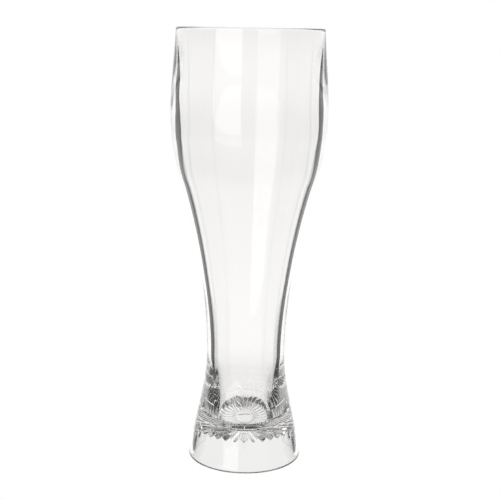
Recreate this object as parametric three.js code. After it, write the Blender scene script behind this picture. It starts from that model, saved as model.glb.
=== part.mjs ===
// A tall wheat-beer glass made in two pieces: a thick-heeled bowl, and a hollow pressed foot with a
// star of grooves in its ceiling. The bowl's spigot stands in the foot's socket, and the shoulder
// round the spigot rests on the foot's top ring.
// Millimetres, +Z up. The origin is on the table, under the glass's axis.
import * as THREE from 'three';

// Heights
const glassHeight = 240; // table to rim
const rimToBulge = 45; // the bulge is the widest ring of the bowl
const bulgeToShoulder = 16;
const shoulderToTaper = 21; // the taper is the steepest stretch of the bowl's side
const taperToNeck = 53; // the neck is where the taper eases into the waist
const waistHeight = 60; // the narrowest ring, above the table
const flareHeight = 41; // the straight cone of heel and foot ends here
const hollowDepth = 15.8; // table to the foot's ceiling
const deckThickness = 8.2; // ceiling to the seam between foot and bowl

// Outer radii
const rimRadius = 39.9;
const bulgeRadius = 42.7;
const shoulderRadius = 41.6;
const taperRadius = 37;
const neckRadius = 25.25;
const waistRadius = 21.9;
const flareRadius = 23.8;
const footRadius = 32;

// How far the side leans out for each millimetre of height
const rimLean = -0.034;
const shoulderLean = 0.117;
const taperLean = 0.297;
const neckLean = 0.145;
const heelInnerLean = 0.06;

// Walls, measured straight across
const rimWall = 1.9;
const bulgeWall = 5.6;
const shoulderWall = 4.7;
const taperWall = 3.6;
const neckWall = 3.3;
const waistWall = 4.1;
const skirtWall = 3.1;
const bowlFloor = 1.9; // under the cavity
const webThickness = 3; // under the socket, from the star's ridges

// The cavity's end, the joint and the edges
const heelInnerRadius = 15.3;
const floorRounding = 3.5;
const spigotRadius = 18.6;
const jointClearance = 0.3; // round and under the spigot
const seamBevel = 0.4; // on both pieces, so the seam shows as a fine line
const footEdge = 1; // rounding of the outer standing edge
const skirtEdge = 0.6; // rounding of the inner standing edge

// The star in the foot's ceiling
const grooveCount = 32;
const grooveDepth = 2.4; // at the outer end, less towards the middle, so that the flanks keep their slope
const starEye = 6.5; // radius of the plain disc in the middle
const starShoulder = 8.5; // radius by which the grooves have run out of the eye

// Fineness of the round shapes: the foot has one step for each ridge and one for each groove
const roundSteps = 2 * Math.round(grooveCount);
const sideSteps = 5;
const edgeSteps = 4;
const floorSteps = 6;

const bulgeHeight = glassHeight - rimToBulge;
const shoulderHeight = bulgeHeight - bulgeToShoulder;
const taperHeight = shoulderHeight - shoulderToTaper;
const neckHeight = taperHeight - taperToNeck;
const rimHeight = glassHeight - rimWall / 2;
const seamHeight = hollowDepth + deckThickness;
const socketFloor = hollowDepth + webThickness;
const spigotBottom = socketFloor + jointClearance;
const cavityFloor = spigotBottom + bowlFloor;
const coneLean = (flareRadius - footRadius) / flareHeight;

const clearGlass = new THREE.MeshStandardMaterial({
  color: 0xf1f4f3,
  roughness: 0.03,
  metalness: 0,
  transparent: true,
  opacity: 0.35,
});

// Outer radius of the straight cone that heel and foot share
function coneRadius(height) {
  return footRadius + coneLean * height;
}

// Points of a rounded stretch, with angles in degrees from straight outwards
function arc(radius, height, bend, from, to, steps) {
  const start = THREE.MathUtils.degToRad(from);
  const end = THREE.MathUtils.degToRad(to);
  const curve = new THREE.EllipseCurve(radius, height, bend, bend, start, end, end < start);
  return curve.getPoints(steps);
}

// A side of the bowl, upwards through stations that each have a height, a radius and a lean
function side(stations) {
  const points = [];
  for (let i = 1; i < stations.length; i += 1) {
    const [low, high] = [stations[i - 1], stations[i]];
    const third = (high.height - low.height) / 3;
    const curve = new THREE.CubicBezierCurve(
      new THREE.Vector2(low.radius, low.height),
      new THREE.Vector2(low.radius + low.lean * third, low.height + third),
      new THREE.Vector2(high.radius - high.lean * third, high.height - third),
      new THREE.Vector2(high.radius, high.height),
    );
    points.push(...curve.getPoints(sideSteps).slice(i === 1 ? 0 : 1));
  }
  return points;
}

// Turns a profile of (radius, height) points about the axis, and stands the axis along +Z
function turn(profile) {
  const geometry = new THREE.LatheGeometry(profile, roundSteps);
  return geometry.rotateX(Math.PI / 2);
}

// From the waist up, inside and outside run through the same stations, a wall apart
const bodyStations = [
  { height: waistHeight, radius: waistRadius, lean: 0, wall: waistWall },
  { height: neckHeight, radius: neckRadius, lean: neckLean, wall: neckWall },
  { height: taperHeight, radius: taperRadius, lean: taperLean, wall: taperWall },
  { height: shoulderHeight, radius: shoulderRadius, lean: shoulderLean, wall: shoulderWall },
  { height: bulgeHeight, radius: bulgeRadius, lean: 0, wall: bulgeWall },
  { height: rimHeight, radius: rimRadius, lean: rimLean, wall: rimWall },
];

function bowlProfile() {
  const flare = { height: flareHeight, radius: flareRadius, lean: coneLean };
  const outside = side([flare, ...bodyStations]);

  const heel = { height: cavityFloor + floorRounding, radius: heelInnerRadius, lean: heelInnerLean };
  const inner = bodyStations.map((station) => ({ ...station, radius: station.radius - station.wall }));
  const inside = side([heel, ...inner]).reverse();

  const rim = arc(rimRadius - rimWall / 2, rimHeight, rimWall / 2, 0, 180, 2 * edgeSteps);
  const floor = arc(heelInnerRadius - floorRounding, heel.height, floorRounding, 0, -90, floorSteps);
  const bevelTop = seamHeight + seamBevel;
  return [
    new THREE.Vector2(0, spigotBottom),
    new THREE.Vector2(spigotRadius, spigotBottom),
    new THREE.Vector2(spigotRadius, seamHeight),
    new THREE.Vector2(coneRadius(seamHeight) - seamBevel, seamHeight),
    new THREE.Vector2(coneRadius(bevelTop), bevelTop),
    ...outside,
    ...rim.slice(1, -1),
    ...inside,
    ...floor.slice(1),
    new THREE.Vector2(0, cavityFloor),
  ];
}

const ceilingRadius = coneRadius(hollowDepth) - skirtWall;

function footProfile() {
  const insideEdge = coneRadius(skirtEdge) - skirtWall + skirtEdge;
  const outsideEdge = coneRadius(footEdge) - footEdge;
  const bevelBottom = seamHeight - seamBevel;
  const socketRadius = spigotRadius + jointClearance;
  return [
    new THREE.Vector2(0, hollowDepth),
    new THREE.Vector2(starEye, hollowDepth),
    new THREE.Vector2(starShoulder, hollowDepth),
    new THREE.Vector2(ceilingRadius, hollowDepth),
    ...arc(insideEdge, skirtEdge, skirtEdge, 180, 270, edgeSteps),
    ...arc(outsideEdge, footEdge, footEdge, 270, 360, edgeSteps),
    new THREE.Vector2(coneRadius(bevelBottom), bevelBottom),
    new THREE.Vector2(coneRadius(seamHeight) - seamBevel, seamHeight),
    new THREE.Vector2(socketRadius, seamHeight),
    new THREE.Vector2(socketRadius, socketFloor),
    new THREE.Vector2(0, socketFloor),
  ];
}

// Raises every second spoke of the ceiling, so that V-shaped grooves run out from the eye
function cutStar(geometry, line) {
  const places = geometry.getAttribute('position');
  const starPoints = [2, 3]; // where the grooves leave the eye, and where they meet the skirt
  for (let spoke = 1; spoke < roundSteps; spoke += 2) {
    for (const point of starPoints) {
      const index = spoke * line.length + point;
      const depth = (grooveDepth * line[point].x) / ceilingRadius;
      places.setZ(index, places.getZ(index) + depth);
    }
  }
  return geometry;
}

function piece(name, geometry) {
  const mesh = new THREE.Mesh(geometry, clearGlass.clone());
  mesh.name = name;
  return mesh;
}

const footLine = footProfile();
const beerGlass = new THREE.Group();
beerGlass.add(piece('bowl', turn(bowlProfile())));
beerGlass.add(piece('foot', cutStar(turn(footLine), footLine)));

export default beerGlass;
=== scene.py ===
# %% [markdown]
# # A tall wheat-beer glass
# The real glass is clear all through: a thin rim, a slight bulge, a long taper down to a waist,
# and a thick heel that stands on a hollow foot with a star pressed into its ceiling.
# Clear glass has hardly a colour of its own. What we see is the room, bent by its two surfaces,
# so this lesson spends as much care on wall thickness and on the studio as on the outline.
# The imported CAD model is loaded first. It fixes the size and place of every piece, in metres.

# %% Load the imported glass
import math

import bmesh
import bpy
from mathutils import Matrix, Vector, geometry, noise


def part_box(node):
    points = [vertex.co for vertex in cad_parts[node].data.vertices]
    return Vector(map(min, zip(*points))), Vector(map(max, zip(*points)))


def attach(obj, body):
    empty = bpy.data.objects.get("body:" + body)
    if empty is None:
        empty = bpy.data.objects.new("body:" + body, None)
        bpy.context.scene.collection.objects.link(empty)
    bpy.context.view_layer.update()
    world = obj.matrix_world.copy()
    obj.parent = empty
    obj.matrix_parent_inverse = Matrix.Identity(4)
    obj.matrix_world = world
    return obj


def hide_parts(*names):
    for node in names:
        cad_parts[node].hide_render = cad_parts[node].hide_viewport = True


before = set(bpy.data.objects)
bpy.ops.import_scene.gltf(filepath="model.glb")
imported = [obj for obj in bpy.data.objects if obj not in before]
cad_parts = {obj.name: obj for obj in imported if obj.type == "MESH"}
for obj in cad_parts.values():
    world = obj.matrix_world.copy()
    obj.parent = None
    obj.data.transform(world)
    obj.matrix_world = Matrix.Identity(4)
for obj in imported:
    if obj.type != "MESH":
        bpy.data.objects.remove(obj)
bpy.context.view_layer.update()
MM = 0.001  # sizes are thought of in millimetres, as a glass maker does
print("CAD nodes:", sorted(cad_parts))

# %% [markdown]
# ## The camera
# A tall glass is often photographed from the height of its rim, with a longish lens: the rim then
# shows almost as a line, the foot as an open ellipse, and the sides stay nearly upright.
# The camera stands a bit more than half a metre away, looks down by about twelve degrees, and is
# rolled by one degree, because the picture that it follows leans a little.

# %% Place the camera
CAMERA_PLACE = Vector((1.5, -573.6, 240.0)) * MM
LOOK_DOWN = math.radians(11.9)
ROLL = math.radians(0.95)
LENS, SENSOR = 75.96, 36.0  # in millimetres, as photographers count

camera_data = bpy.data.cameras.new("studio_camera")
camera_data.sensor_width = SENSOR
camera_data.lens = LENS
camera_data.clip_start = 0.01
camera = bpy.data.objects.new("studio_camera", camera_data)
camera.matrix_world = (
    Matrix.Translation(CAMERA_PLACE)
    @ Matrix.Rotation(math.radians(90) - LOOK_DOWN, 4, "X")
    @ Matrix.Rotation(ROLL, 4, "Z")
)
bpy.context.scene.collection.objects.link(camera)
bpy.context.scene.camera = camera
print("camera at", [round(c, 4) for c in CAMERA_PLACE])

# %% [markdown]
# ## The line of the glass
# A glass is a turned shape, so one half section tells everything. The CAD model gives the heights
# of rim and seam. Between the waist and the rim the side runs smoothly through a few stations,
# each with a height, a radius and a lean. Inside and outside share the stations, a wall apart.
# Above the heel, the bulge has the thickest wall and the rim the thinnest.

# %% Stations of the bowl, in millimetres
GLASS_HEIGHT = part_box("bowl")[1].z / MM
SEAM_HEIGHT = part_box("foot")[1].z / MM
FOOT_RADIUS = 32.0
FLARE_HEIGHT, FLARE_RADIUS = 41.0, 23.8
CONE_LEAN = (FLARE_RADIUS - FOOT_RADIUS) / FLARE_HEIGHT
RIM_WALL = 1.9

# height, outer radius, lean, wall
BODY = [
    (60.0, 21.9, 0.0, 4.1),  # waist
    (105.0, 25.25, 0.145, 3.3),  # neck
    (158.0, 37.0, 0.297, 3.6),  # taper
    (179.0, 41.6, 0.117, 4.7),  # shoulder
    (195.0, 42.7, 0.0, 5.6),  # bulge
    (GLASS_HEIGHT, 39.87, -0.034, RIM_WALL),  # rim
]


def cone_radius(height):
    """Outer radius of the straight cone that heel and foot share."""
    return FOOT_RADIUS + CONE_LEAN * height


def smooth_side(stations, step=2.0):
    """Points (radius, height) upwards through stations of (height, radius, lean)."""
    points = []
    for (z0, r0, lean0), (z1, r1, lean1) in zip(stations, stations[1:]):
        third = (z1 - z0) / 3
        points += geometry.interpolate_bezier(
            Vector((r0, z0, 0)),
            Vector((r0 + lean0 * third, z0 + third, 0)),
            Vector((r1 - lean1 * third, z1 - third, 0)),
            Vector((r1, z1, 0)),
            round((z1 - z0) / step) + 1,
        )[:-1]
    points.append(Vector((stations[-1][1], stations[-1][0], 0)))
    return [(p.x, p.y) for p in points]


outside = smooth_side(
    [(FLARE_HEIGHT, FLARE_RADIUS, CONE_LEAN)] + [(z, r, lean) for z, r, lean, wall in BODY]
)
widest = max(r for r, z in outside)
print(f"outside: {len(outside)} points, widest radius {widest:.2f} mm")

# %% [markdown]
# ## Turning a piece
# A mould is cut on a lathe, and `bmesh.ops.spin` is Blender's lathe. The half section is drawn as
# a chain of edges with sharp corners. A vertex bevel rounds the corners that are round on the real
# glass, long straight stretches are cut into short ones so that the shading stays true, and one
# full spin makes the body. The points on the axis all fall together, so doubles are merged, and
# the normals are worked out again, because a spin may leave a body inside out.

# %% Helpers for turned pieces
NEARLY = 0.01  # two measures within this many millimetres count as the same
SAME_PLACE = 0.0005  # vertices within this many millimetres are merged


def draw_section(points):
    """Start a bmesh with a chain of edges through (radius, height) points in millimetres."""
    section = bmesh.new()
    chain = [section.verts.new((r * MM, 0, z * MM)) for r, z in points]
    for low, high in zip(chain, chain[1:]):
        section.edges.new((low, high))
    return section, chain


def ease_corner(section, corner, size, steps):
    """Round one corner of a section, or chamfer it with a single step."""
    bmesh.ops.bevel(
        section,
        geom=[corner],
        offset=size * MM,
        affect="VERTICES",
        segments=steps,
        profile=0.5,
        material=-1,
    )


def cut_long_edges(section, longest=2.5):
    """Cut each edge of a section that is longer than this many millimetres."""
    for edge in section.edges[:]:
        cuts = math.ceil(edge.calc_length() / (longest * MM)) - 1
        if cuts > 0:
            bmesh.ops.subdivide_edges(section, edges=[edge], cuts=cuts)


def turn(section, steps):
    """Spin a section once round the axis into a closed body."""
    bmesh.ops.spin(
        section,
        geom=section.verts[:] + section.edges[:],
        cent=(0, 0, 0),
        axis=(0, 0, 1),
        angle=math.tau,
        steps=steps,
        use_merge=True,
    )
    bmesh.ops.remove_doubles(section, verts=section.verts, dist=SAME_PLACE * MM)
    bmesh.ops.recalc_face_normals(section, faces=section.faces)
    return section


def open_edges(body):
    """How many edges don't join exactly two faces; a closed body has none."""
    return sum(not edge.is_manifold for edge in body.edges)


# %% [markdown]
# ## The bowl
# The bowl is blown into a mould, cut off and melted smooth at the rim. Under its heel is a short
# spigot that is bonded into the foot. The section starts on the axis under the spigot, goes out
# along the shoulder that rests on the foot, up the outside, over the rim and down the inside.
# Both pieces have a small chamfer at the seam. Together they make a fine V-shaped groove,
# and that is what draws the thin bright line round the heel.

# %% Line of the cavity
SPIGOT_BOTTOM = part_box("bowl")[0].z / MM
BOWL_FLOOR = 1.9
CAVITY_FLOOR = SPIGOT_BOTTOM + BOWL_FLOOR
FLOOR_ROUNDING = 3.5
HEEL_HEIGHT, HEEL_RADIUS, HEEL_LEAN = CAVITY_FLOOR + FLOOR_ROUNDING, 15.3, 0.06

inside = smooth_side(
    [(HEEL_HEIGHT, HEEL_RADIUS, HEEL_LEAN)] + [(z, r - wall, lean) for z, r, lean, wall in BODY]
)
floor_corner = (HEEL_RADIUS - HEEL_LEAN * (HEEL_HEIGHT - CAVITY_FLOOR), CAVITY_FLOOR)
print(f"inside: {len(inside)} points, floor {CAVITY_FLOOR:.2f} mm above the table")

# %% Draw and turn the bowl
SPIGOT_RADIUS = 18.6
SEAM_BEVEL = 0.4
BOND_FILM = 0.015  # each piece stands back from the seam by this much
RIM_ROUNDING = 0.48 * RIM_WALL  # a little less than half, so that the two corners don't meet
FLOOR_REACH = 0.95 * FLOOR_ROUNDING  # of the rounding, along the floor and up the wall
BOWL_STEPS = 256

shoulder = SEAM_HEIGHT + BOND_FILM
section_points = [
    (0, SPIGOT_BOTTOM),
    (SPIGOT_RADIUS, SPIGOT_BOTTOM),
    (SPIGOT_RADIUS, shoulder),
    (cone_radius(shoulder), shoulder),
    *outside,
    *reversed(inside),
    floor_corner,
    (0, CAVITY_FLOOR),
]
bowl, chain = draw_section(section_points)
seam_corner = chain[3]
rim_outer, rim_inner = chain[3 + len(outside)], chain[4 + len(outside)]
floor_vertex = chain[-2]
ease_corner(bowl, seam_corner, SEAM_BEVEL, steps=1)
for corner in (rim_outer, rim_inner):
    ease_corner(bowl, corner, RIM_ROUNDING, steps=6)
ease_corner(bowl, floor_vertex, FLOOR_REACH, steps=16)
cut_long_edges(bowl)
turn(bowl, BOWL_STEPS)
print("bowl:", len(bowl.faces), "faces,", open_edges(bowl), "open edges")

# %% [markdown]
# ## Waves in the inner wall
# The mould gives the outside its form, but the inside is shaped by air alone, so it is never quite
# even. On a clear glass those waves show at once, because they make the dark edge lines wander.
# A bump map would not move an outline, so the vertices of the inner wall are moved themselves, by
# a fifth of a millimetre, with Blender's own noise. They fade out towards the rim and the taper.
# The heel has finer, upright ripples, where the thick glass was drawn down in the mould.

# %% Let the inner wall wander
def fade(value, low, high):
    """Rise smoothly from 0 at the ends of a band to 1 in its middle."""
    share = (value - low) / (high - low)
    return math.sin(math.pi * share) if 0 < share < 1 else 0.0


def wander(body, low, high, depth, across, upright):
    """Move the inner wall between two heights by waves of these lengths, and count its vertices."""
    body.normal_update()
    moved = 0
    for vertex in body.verts:
        outwards = Vector((vertex.co.x, vertex.co.y, 0))
        strength = fade(vertex.co.z / MM, low, high)
        if strength and vertex.normal.dot(outwards) < 0:
            x, y, z = vertex.co / MM
            wave = noise.noise(Vector((x / across, y / across, z / upright)))
            vertex.co += outwards.normalized() * (depth * MM * strength * wave)
            moved += 1
    return moved


print("bulge:", wander(bowl, low=165, high=228, depth=0.2, across=17, upright=17), "vertices moved")
print("heel:", wander(bowl, low=21.5, high=60, depth=0.16, across=3.4, upright=40), "vertices moved")

# %% [markdown]
# ## The foot
# The foot is pressed: a plunger forms the socket for the spigot on top, and the mould below it
# forms the hollow and the star. It is turned in the same way, from the middle of its ceiling
# out to the skirt, round the standing ring, up the outside to the seam and down into the socket.

# %% Draw and turn the foot
CEILING = 15.8
SKIRT_WALL, WEB = 3.1, 3.0  # the web is the glass between star and socket
SKIRT_EDGE, FOOT_EDGE = 0.7, 1.0  # roundings of the standing ring, inside and outside
STAR_EYE, STAR_SHOULDER = 6.5, 8.5  # where the grooves begin, and where they are fully formed
JOINT_CLEARANCE = 0.3
SOCKET_RADIUS = SPIGOT_RADIUS + JOINT_CLEARANCE
SOCKET_FLOOR = CEILING + WEB
GROOVES = 32
FOOT_STEPS = 16 * GROOVES  # so that every groove has the same spokes

deck = SEAM_HEIGHT - BOND_FILM
ceiling_radius = cone_radius(CEILING) - SKIRT_WALL
section_points = [
    (0, CEILING),
    (STAR_EYE, CEILING),
    (STAR_SHOULDER, CEILING),
    (ceiling_radius, CEILING),
    (FOOT_RADIUS - SKIRT_WALL, 0),
    (FOOT_RADIUS, 0),
    (cone_radius(deck), deck),
    (SOCKET_RADIUS, deck),
    (SOCKET_RADIUS, SOCKET_FLOOR),
    (0, SOCKET_FLOOR),
]
foot, chain = draw_section(section_points)
skirt_corner, foot_corner, seam_corner = chain[4:7]
ease_corner(foot, skirt_corner, SKIRT_EDGE, steps=6)
ease_corner(foot, foot_corner, FOOT_EDGE, steps=8)
ease_corner(foot, seam_corner, SEAM_BEVEL, steps=1)
cut_long_edges(foot)
turn(foot, FOOT_STEPS)
print("foot:", len(foot.faces), "faces,", open_edges(foot), "open edges")

# %% [markdown]
# ## The star
# Thirty-two V-shaped grooves run out from a plain eye in the middle of the ceiling and get deeper
# towards the skirt. They could be cut one by one with `bisect_plane`, but they follow the spokes
# of the turned mesh exactly, so raising the vertices between the ridges makes the same flanks.
# A polished mould has no knife edges, so the V is blended with a little of a sine wave, and the
# star is shaded smoothly. It is what sparkles in the heel.

# %% Press the star into the ceiling
GROOVE_DEPTH = 2.4
ROUNDING = 0.25  # share of the sine wave


def groove_share(vertex):
    """0 on a ridge of the star and 1 at the bottom of a groove."""
    turns = math.atan2(vertex.co.y, vertex.co.x) / math.tau * GROOVES
    vee = 1 - abs(2 * (turns % 1) - 1)
    wave = 0.5 - 0.5 * math.cos(math.tau * turns)
    return vee + (wave - vee) * ROUNDING


def in_star(vertex):
    """Whether a vertex lies in the ceiling, outside the eye; asked before the star is pressed."""
    radius = vertex.co.xy.length / MM
    level = abs(vertex.co.z / MM - CEILING) < NEARLY
    return level and STAR_EYE - NEARLY < radius < ceiling_radius + NEARLY


def at_skirt(vertex):
    """Whether a vertex lies on the ring where the star meets the skirt."""
    return vertex.co.xy.length / MM > ceiling_radius - NEARLY


star = [v for v in foot.verts if in_star(v)]
star_edges = {e for v in star for e in v.link_edges if all(in_star(w) for w in e.verts)}
for vertex in star:
    radius = vertex.co.xy.length / MM
    run_in = min(max((radius - STAR_EYE) / (STAR_SHOULDER - STAR_EYE), 0.0), 1.0)
    depth = GROOVE_DEPTH * run_in * radius / ceiling_radius
    vertex.co.z += depth * MM * groove_share(vertex)
soft_edges = [e for e in star_edges if not all(at_skirt(v) for v in e.verts)]
print("star:", len(star), "vertices,", len(soft_edges), "soft edges")

# %% [markdown]
# ## Clear glass
# Glass is a Principled shader with full transmission and an index of refraction of 1.5. Its colour
# is almost white, because a wall a few millimetres thick takes only a little light. A soft noise
# on Object coordinates varies that by a hair and bends the normals very slightly,
# as in pressed and blown glass. The foot's standing ring is scuffed by years of tables,
# so its roughness rises in the last third of a millimetre above the table.

# %% Make the glass materials
PALE = (0.962, 0.958, 0.949)
PALER = (0.978, 0.974, 0.965)
RIPPLE = 0.02  # millimetres


def new_material(name):
    """A material with nodes, and its lists of nodes and links."""
    material = bpy.data.materials.new(name)
    material.use_nodes = True
    return material, material.node_tree.nodes, material.node_tree.links


def clear_glass(name):
    """Clear glass with faint clouds and ripples."""
    material, nodes, links = new_material(name)
    shader = nodes["Principled BSDF"]
    shader.inputs["Transmission Weight"].default_value = 1.0
    shader.inputs["IOR"].default_value = 1.5
    shader.inputs["Roughness"].default_value = 0.0

    place = nodes.new("ShaderNodeTexCoord")
    cloud = nodes.new("ShaderNodeTexNoise")
    cloud.inputs["Scale"].default_value = 45.0
    cloud.inputs["Detail"].default_value = 1.0
    links.new(place.outputs["Object"], cloud.inputs["Vector"])

    tint = nodes.new("ShaderNodeValToRGB")
    tint.color_ramp.elements[0].color = (*PALE, 1)
    tint.color_ramp.elements[1].color = (*PALER, 1)
    links.new(cloud.outputs["Fac"], tint.inputs["Fac"])
    links.new(tint.outputs["Color"], shader.inputs["Base Color"])

    bump = nodes.new("ShaderNodeBump")
    bump.inputs["Strength"].default_value = 0.5
    bump.inputs["Distance"].default_value = RIPPLE * MM
    links.new(cloud.outputs["Fac"], bump.inputs["Height"])
    links.new(bump.outputs["Normal"], shader.inputs["Normal"])
    return material


bowl_glass = clear_glass("bowl_glass")
foot_glass = clear_glass("foot_glass")
print("materials:", bowl_glass.name, foot_glass.name)

# %% Scuff the standing ring
SCUFF_HEIGHT = 0.3  # millimetres above the table
SCUFF_ROUGHNESS = 0.3

nodes, links = foot_glass.node_tree.nodes, foot_glass.node_tree.links
place = nodes.new("ShaderNodeTexCoord")
height = nodes.new("ShaderNodeSeparateXYZ")
scuff = nodes.new("ShaderNodeMapRange")
scuff.inputs["From Min"].default_value = 0.0
scuff.inputs["From Max"].default_value = SCUFF_HEIGHT * MM
scuff.inputs["To Min"].default_value = SCUFF_ROUGHNESS
scuff.inputs["To Max"].default_value = 0.0
links.new(place.outputs["Object"], height.inputs["Vector"])
links.new(height.outputs["Z"], scuff.inputs["Value"])
links.new(scuff.outputs["Result"], nodes["Principled BSDF"].inputs["Roughness"])
print("scuffed up to", SCUFF_HEIGHT, "mm above the table")

# %% [markdown]
# ## The bond
# Where the spigot sits in the socket, the joint is filled with a clear bond that bends light as
# glass does, so on the real object nothing shows there. Two glass faces with air between them
# would shine like a mirror. The mating faces therefore get a Transparent shader,
# and light crosses them as if the glass went on.

# %% Make the bond
bond, nodes, links = new_material("clear_bond")
nodes.remove(nodes["Principled BSDF"])
see_through = nodes.new("ShaderNodeBsdfTransparent")
links.new(see_through.outputs["BSDF"], nodes["Material Output"].inputs["Surface"])


def bond_faces(body, radius, bottom, seat):
    """Give the faces under, around and beside a spigot or socket the second material."""
    count = 0
    for face in body.faces:
        middle = face.calc_center_median() / MM
        across = middle.xy.length
        under = abs(middle.z - bottom) < NEARLY and across < radius
        around = abs(across - radius) < NEARLY and bottom < middle.z < seat
        beside = abs(middle.z - seat) < NEARLY and across > radius
        if under or around or beside:
            face.material_index = 1
            count += 1
    return count


print("bonded faces on the bowl:", bond_faces(bowl, SPIGOT_RADIUS, SPIGOT_BOTTOM, shoulder))
print("bonded faces on the foot:", bond_faces(foot, SOCKET_RADIUS, SOCKET_FLOOR, deck))

# %% [markdown]
# ## From mesh to piece
# Both pieces are shaded smooth, with creases only where two faces meet at a real corner.
# Each one replaces its CAD node, which is hidden, rides on the one body there is,
# and gets its glass and the clear bond as materials.

# %% Finish both pieces
CREASE = math.radians(25)


def finish_piece(name, body, materials, node, soft=()):
    """Shade a body, make it an object, and hide the CAD node that it replaces."""
    body.normal_update()
    for face in body.faces:
        face.smooth = True
    for edge in body.edges:
        edge.smooth = edge.calc_face_angle(0) < CREASE
    for edge in soft:
        edge.smooth = True
    mesh = bpy.data.meshes.new(name)
    body.to_mesh(mesh)
    body.free()
    for material in materials:
        mesh.materials.append(material)
    piece = bpy.data.objects.new(name, mesh)
    bpy.context.scene.collection.objects.link(piece)
    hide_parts(node)
    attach(piece, "root")
    print(name, "has", len(mesh.polygons), "faces")
    return piece


finish_piece("glass_bowl", bowl, [bowl_glass, bond], "bowl")
finish_piece("glass_foot", foot, [foot_glass, bond], "foot", soft_edges)

# %% [markdown]
# ## The studio
# Glass on white is lit from behind: the background is white, and black cards beside the glass
# draw its edges. The floor and the wall are plain white and only the camera sees them,
# so the glass bends one even tent of light, without the seam where floor and wall meet.

# %% Plain floor and wall
def plain_light(name, strength):
    """A material that only glows, with the same strength all over."""
    material, nodes, links = new_material(name)
    nodes.remove(nodes["Principled BSDF"])
    light = nodes.new("ShaderNodeEmission")
    light.inputs["Strength"].default_value = strength
    links.new(light.outputs["Emission"], nodes["Material Output"].inputs["Surface"])
    return material


def stage_object(name, body, material):
    """Make a bmesh a thing of the studio, which isn't part of the glass."""
    mesh = bpy.data.meshes.new(name)
    body.to_mesh(mesh)
    body.free()
    mesh.materials.append(material)
    thing = bpy.data.objects.new(name, mesh)
    bpy.context.scene.collection.objects.link(thing)
    return thing


def seen_by_camera_alone(thing):
    """Hide a thing from every ray that doesn't come straight from the camera."""
    thing.visible_diffuse = False
    thing.visible_glossy = False
    thing.visible_transmission = False
    thing.visible_volume_scatter = False
    thing.visible_shadow = False


ROOM = 4.0  # metres
ROUND = 96  # sides of the round things on the stage
white = plain_light("studio_white", 1.0)
disc = bmesh.new()
bmesh.ops.create_circle(disc, cap_ends=True, segments=ROUND, radius=ROOM)
seen_by_camera_alone(stage_object("floor", disc, white))
tube = bmesh.new()
bmesh.ops.create_cone(
    tube,
    cap_ends=False,
    segments=ROUND,
    radius1=ROOM,
    radius2=ROOM,
    depth=ROOM,
    matrix=Matrix.Translation((0, 0, ROOM / 2)),
)
seen_by_camera_alone(stage_object("wall", tube, white))
print("floor and wall, radius", ROOM, "m")

# %% [markdown]
# ## The soft box
# The long bright stripe on the left of the bulge is the mirror image of a tall soft box, which
# hangs in front, to the left of the camera. It is made as one upright edge that is spun part of
# the way round the glass. Towards its far end the lower edge curves up, so the stripe ends softly.

# %% Hang the soft box
BOX_DISTANCE = 1.2  # metres, like the heights
BOX_BOTTOM, BOX_TOP = -0.1, 0.9
BOX_FROM, BOX_TO = math.radians(192), math.radians(233)  # from straight behind, clockwise
BOX_STEPS = 24
BOX_LIGHT = 2.0
CORNER_LIFT, CORNER_BEND = 0.2, 4  # how far the lower edge rises, and how late

box = bmesh.new()
low = box.verts.new((0, BOX_DISTANCE, BOX_BOTTOM))
high = box.verts.new((0, BOX_DISTANCE, BOX_TOP))
upright = box.edges.new((low, high))
bmesh.ops.rotate(
    box, verts=box.verts[:], cent=(0, 0, 0), matrix=Matrix.Rotation(-BOX_FROM, 3, "Z")
)
bmesh.ops.spin(
    box,
    geom=[low, high, upright],
    cent=(0, 0, 0),
    axis=(0, 0, 1),
    angle=BOX_FROM - BOX_TO,
    steps=BOX_STEPS,
    use_merge=False,
)
for vertex in box.verts:
    if vertex.co.z < BOX_TOP / 2:
        turned = math.atan2(vertex.co.x, vertex.co.y) % math.tau
        share = (turned - BOX_FROM) / (BOX_TO - BOX_FROM)
        vertex.co.z += CORNER_LIFT * share**CORNER_BEND
soft_box = stage_object("soft_box", box, plain_light("soft_light", BOX_LIGHT))
soft_box.visible_camera = False
print("soft box:", len(soft_box.data.polygons), "faces")

# %% [markdown]
# ## Light that the glass reflects inside
# Near the edge of the cavity a ray meets the inner wall so flatly that the wall mirrors it, and it
# leaves the glass sideways. Dark cards out there draw the fine dark lines that tell us how thick
# the glass is. Plain cards would also show through the glass as dark bars from other sides.
# So their paint asks the Light Path node about each ray: to a ray that was reflected on its way
# through the glass the card is dark, and every other ray passes it.

# %% Mix a paint for the cards
def feed(socket, value):
    """Set an input to a number, or link it to another node's output."""
    if isinstance(value, bpy.types.NodeSocket):
        socket.id_data.links.new(value, socket)
    else:
        socket.default_value = value


def arithmetic(operation, first, second=0.0):
    """Add a Math node behind an output, and return its own output."""
    node = first.id_data.nodes.new("ShaderNodeMath")
    node.operation = operation
    feed(node.inputs[0], first)
    feed(node.inputs[1], second)
    return node.outputs["Value"]


def inner_light(nodes):
    """1 for light that was reflected on its way through the glass, and 0 for all other light."""
    path = nodes.new("ShaderNodeLightPath")
    both = arithmetic("MULTIPLY", path.outputs["Glossy Depth"], path.outputs["Transmission Depth"])
    return arithmetic("GREATER_THAN", both, 0.5)


def card_paint(name, strength):
    """Dark to inner light, and clear to all other light."""
    material = plain_light(name, strength)
    nodes, links = material.node_tree.nodes, material.node_tree.links
    clear = nodes.new("ShaderNodeBsdfTransparent")
    choice = nodes.new("ShaderNodeMixShader")
    links.new(inner_light(nodes), choice.inputs["Fac"])
    links.new(clear.outputs["BSDF"], choice.inputs[1])
    links.new(nodes["Emission"].outputs["Emission"], choice.inputs[2])
    links.new(choice.outputs["Shader"], nodes["Material Output"].inputs["Surface"])
    return material


black = card_paint("card_black", 0.0)
print("card paint:", len(black.node_tree.nodes), "nodes")

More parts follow.
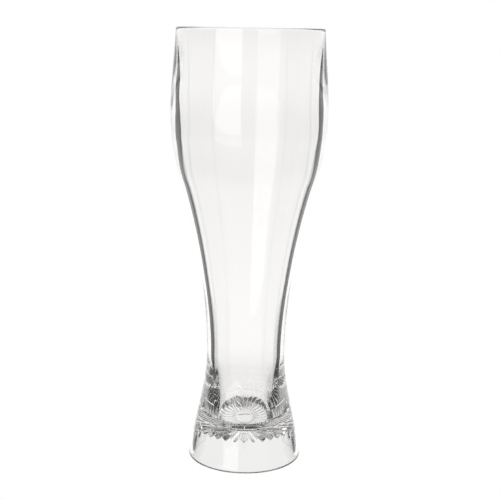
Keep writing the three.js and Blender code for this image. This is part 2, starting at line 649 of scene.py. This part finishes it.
# %% [markdown]
# ## The black cards
# Four cards stand round the glass, in planes through its axis, just outside its outline. Each one
# starts as a chain of edges along the outline, and is extruded outwards. The cards get
# narrower towards the rim, and near the table they are wide, because the thick heel and the foot
# send light out at many angles. The camera doesn't see them.

# %% Stand the black cards round the glass
CARDS = 4
CARD_GAP = 1.09  # inner edge, in outer radii of the glass
CARD_WIDTH, CARD_WIDTH_TOP = 1.5, 1.12  # outer edge, in outer radii of the glass
CARD_TAPER, CARD_TOP = 160.0, 228.0  # heights between which a card gets narrower
CARD_SPREAD = 90.0  # below this height a card gets wider, to this radius at the table
CARD_BOTTOM, CARD_ROW = 1, 4

outline = [(cone_radius(z), z) for z in range(CARD_BOTTOM, int(FLARE_HEIGHT), CARD_ROW)]
outline += [(r, z) for r, z in outside if z < CARD_TOP]


def card_edge(radius, height):
    """Radius of a card's outer edge, beside a place on the outline."""
    narrowed = max(0.0, (height - CARD_TAPER) / (CARD_TOP - CARD_TAPER))
    wide = (CARD_WIDTH + (CARD_WIDTH_TOP - CARD_WIDTH) * narrowed) * radius
    spread = max(0.0, 1 - height / CARD_SPREAD)
    return wide + (CARD_SPREAD - wide) * spread


for number in range(CARDS):
    card, _ = draw_section([(CARD_GAP * r, z) for r, z in outline])
    grown = bmesh.ops.extrude_edge_only(card, edges=card.edges[:])["geom"]
    for vertex in (v for v in grown if isinstance(v, bmesh.types.BMVert)):
        vertex.co.x = card_edge(vertex.co.x / MM / CARD_GAP, vertex.co.z / MM) * MM
    turned = Matrix.Rotation(math.tau * number / CARDS, 3, "Z")
    bmesh.ops.rotate(card, verts=card.verts, cent=(0, 0, 0), matrix=turned)
    stage_object(f"black_card_{number}", card, black).visible_camera = False
print("black cards:", CARDS, "with", len(outline), "rows each")

# %% [markdown]
# ## On the table
# The heel and the star look down and to the sides, at the table round the foot. Two dark cards that
# lie there, with the same kind of paint, give the star its dark flanks. A pale grey disc under the
# foot is a painted shadow of the foot on the table, and keeps the skirt a shade darker than the
# background. To light that was reflected inside the glass this painted shadow is much darker, with
# an almost black stripe from front to back, a little to the right of the axis: a painted shadow of
# the heel. That makes the sides of the heel grey and streaky, the left one more than the right one.
# The camera sees none of these things.

# %% Lay cards on the table
# X and Y of the right card's corners; the left card is its mirror image
TABLE_CARD = [(38, -10), (90, -10), (90, 75), (0, 75), (0, 34), (30, 34), (38, 24)]
TABLE_CARD_HEIGHT = 0.1
table_grey = card_paint("table_grey", 0.1)

for side, name in ((-1, "left_table_card"), (1, "right_table_card")):
    card = bmesh.new()
    corners = [(side * x * MM, y * MM, TABLE_CARD_HEIGHT * MM) for x, y in TABLE_CARD]
    card.faces.new([card.verts.new(corner) for corner in corners])
    stage_object(name, card, table_grey).visible_camera = False
print("table cards:", len(TABLE_CARD), "corners each")

# %% Put a disc of painted shadow under the foot
DISC_RADIUS, DISC_HEIGHT = 31, -0.5
# The disc's light is painted shade: a little darker than the white floor, as the table is shaded
# under the foot.
DISC_LIGHT = 0.91
# The stripe is a painted shadow of the heel, seen only by light reflected inside the glass.
STRIPE_PLACE = 3  # X of its middle
STRIPE_CORE, STRIPE_END = 4, 11  # distances from its middle
STRIPE_DARK, STRIPE_PALE = 0.03, 0.4  # light of its core, and of the disc beside it


def soft_step(source, span, before, after):
    """Change smoothly from one value to another while the source crosses a span."""
    step = source.id_data.nodes.new("ShaderNodeMapRange")
    step.interpolation_type = "SMOOTHSTEP"
    feed(step.inputs["Value"], source)
    feed(step.inputs["From Min"], span[0])
    feed(step.inputs["From Max"], span[1])
    feed(step.inputs["To Min"], before)
    feed(step.inputs["To Max"], after)
    return step.outputs["Result"]


under = bmesh.new()
bmesh.ops.create_circle(
    under,
    cap_ends=True,
    segments=ROUND,
    radius=DISC_RADIUS * MM,
    matrix=Matrix.Translation((0, 0, DISC_HEIGHT * MM)),
)
# Painted shadow of the foot on the table; only light through the glass sees it.
painted_foot_shadow = plain_light("painted_foot_shadow", DISC_LIGHT)
stage_object("foot_shadow_disc", under, painted_foot_shadow).visible_camera = False

nodes, links = painted_foot_shadow.node_tree.nodes, painted_foot_shadow.node_tree.links
place = nodes.new("ShaderNodeTexCoord")
across = nodes.new("ShaderNodeSeparateXYZ")
links.new(place.outputs["Object"], across.inputs["Vector"])
distance = arithmetic("ABSOLUTE", arithmetic("SUBTRACT", across.outputs["X"], STRIPE_PLACE * MM))
# Painted shadow of the heel: an almost black stripe across the disc.
stripe = soft_step(distance, (STRIPE_CORE * MM, STRIPE_END * MM), STRIPE_DARK, STRIPE_PALE)
shade = soft_step(inner_light(nodes), (0.0, 1.0), DISC_LIGHT, stripe)
links.new(shade, nodes["Emission"].inputs["Strength"])
print("disc: radius", DISC_RADIUS, "mm, stripe", 2 * STRIPE_END, "mm wide")

# %% [markdown]
# ## The tent of light
# Everything else that the glass can mirror or bend is the world. It is brightest behind and low
# down, greyer at the sides and in front, where the photographer stands, and dark overhead, though
# less so on the left. The light depends only on the direction, with soft changes, so it draws no
# edges of its own.

# %% Light the world
TENT_FRONT, TENT_SIDES = 0.8, 0.75
TENT_DOWN, TENT_LOW, TENT_LEVEL = 0.9, 1.06, 0.94
ABOVE_LEFT, ABOVE_RIGHT = 0.45, 0.04
# Spans of a direction's X, Y and Z, which run from -1 to 1
FRONT_TO_BACK = (-0.5, 0.6)
BACK_TO_SIDES = (0.6, 0.95)
LEFT_TO_RIGHT = (-0.2, 0.2)
DOWN_TO_LOW, LOW_TO_LEVEL, LEVEL_TO_ABOVE = (-0.5, -0.3), (-0.3, 0.05), (0.3, 0.55)

world = bpy.data.worlds.new("studio_tent")
world.use_nodes = True
nodes, links = world.node_tree.nodes, world.node_tree.links
direction = nodes.new("ShaderNodeTexCoord")
parts = nodes.new("ShaderNodeSeparateXYZ")
links.new(direction.outputs["Generated"], parts.inputs["Vector"])
right, back, up = parts.outputs

above = soft_step(right, LEFT_TO_RIGHT, ABOVE_LEFT, ABOVE_RIGHT)
tent = soft_step(back, FRONT_TO_BACK, TENT_FRONT, 1.0)
for shade in (
    soft_step(arithmetic("ABSOLUTE", right), BACK_TO_SIDES, 1.0, TENT_SIDES),
    soft_step(up, LOW_TO_LEVEL, TENT_LOW, TENT_LEVEL),
    soft_step(up, DOWN_TO_LOW, TENT_DOWN, 1.0),
    soft_step(up, LEVEL_TO_ABOVE, 1.0, above),
):
    tent = arithmetic("MULTIPLY", tent, shade)
links.new(tent, nodes["Background"].inputs["Color"])
bpy.context.scene.world = world
print("tent:", TENT_FRONT, "in front,", TENT_SIDES, "at the sides,", TENT_LOW, "low down")

# %% [markdown]
# ## Light paths
# A ray may cross the walls, the heel and the foot of the glass many times before it leaves.
# With too few bounces those rays end in black, so the limits are raised. The Standard view
# keeps white as white.

# %% Allow many bounces
BOUNCES, CLEAR_BOUNCES = 24, 16

scene = bpy.context.scene
scene.view_settings.view_transform = "Standard"
scene.cycles.max_bounces = BOUNCES
scene.cycles.transmission_bounces = BOUNCES
scene.cycles.glossy_bounces = BOUNCES
scene.cycles.transparent_max_bounces = CLEAR_BOUNCES
print("bounces:", BOUNCES)
